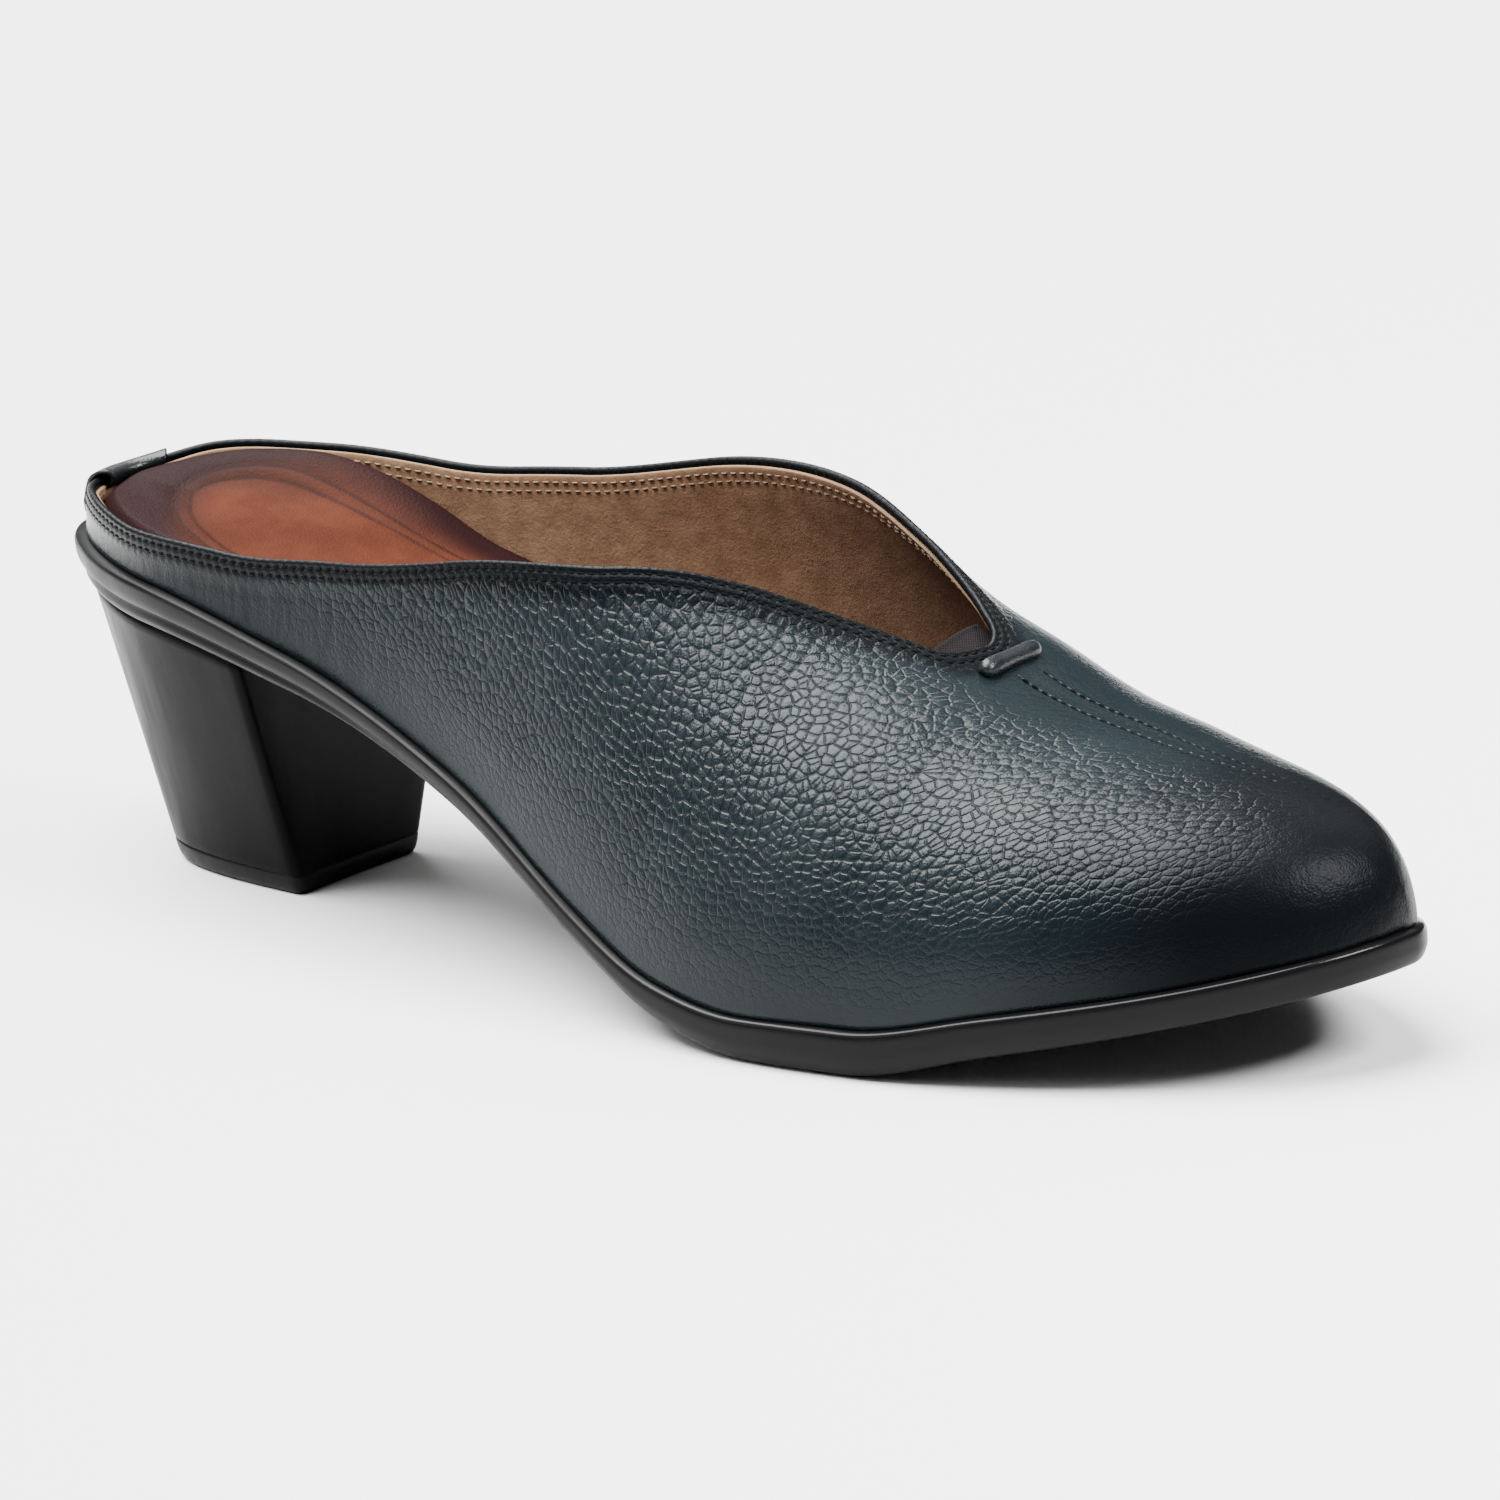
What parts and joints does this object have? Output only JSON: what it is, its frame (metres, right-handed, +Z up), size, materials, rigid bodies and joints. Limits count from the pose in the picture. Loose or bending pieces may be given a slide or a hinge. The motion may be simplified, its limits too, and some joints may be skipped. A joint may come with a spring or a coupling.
{
  "type": "block heel mule",
  "caption": "Backless block heel mule for the right foot: hollow leather upper with a V throat, padded insole, moulded sole with arch and toe spring, tapered heel.",
  "frame": {"origin": "middle of the shoe's bounding box in plan, on the floor plane", "axes": "+X from heel to toe, +Z up, -Y towards the outer (little toe) side of the right foot"},
  "size_m": [0.2534, 0.0864, 0.0697],
  "materials": {
    "teal_leather": "pebbled and polished, satin gloss",
    "trim_leather": "smooth, satin gloss",
    "brown_sock": "smooth matt lining leather",
    "grey_elastic": "matt woven elastic",
    "black_sole": "satin",
    "black_heel": "satin lacquer",
    "black_top_piece": "matt"
  },
  "bodies": {
    "root": {"upper": "teal_leather", "outsole": "black_sole", "insole": "brown_sock", "heel_block": "black_heel", "top_piece": "black_top_piece", "throat_gusset": "grey_elastic", "throat_bar": "trim_leather", "back_tab": "trim_leather"}
  },
  "joints": []
}
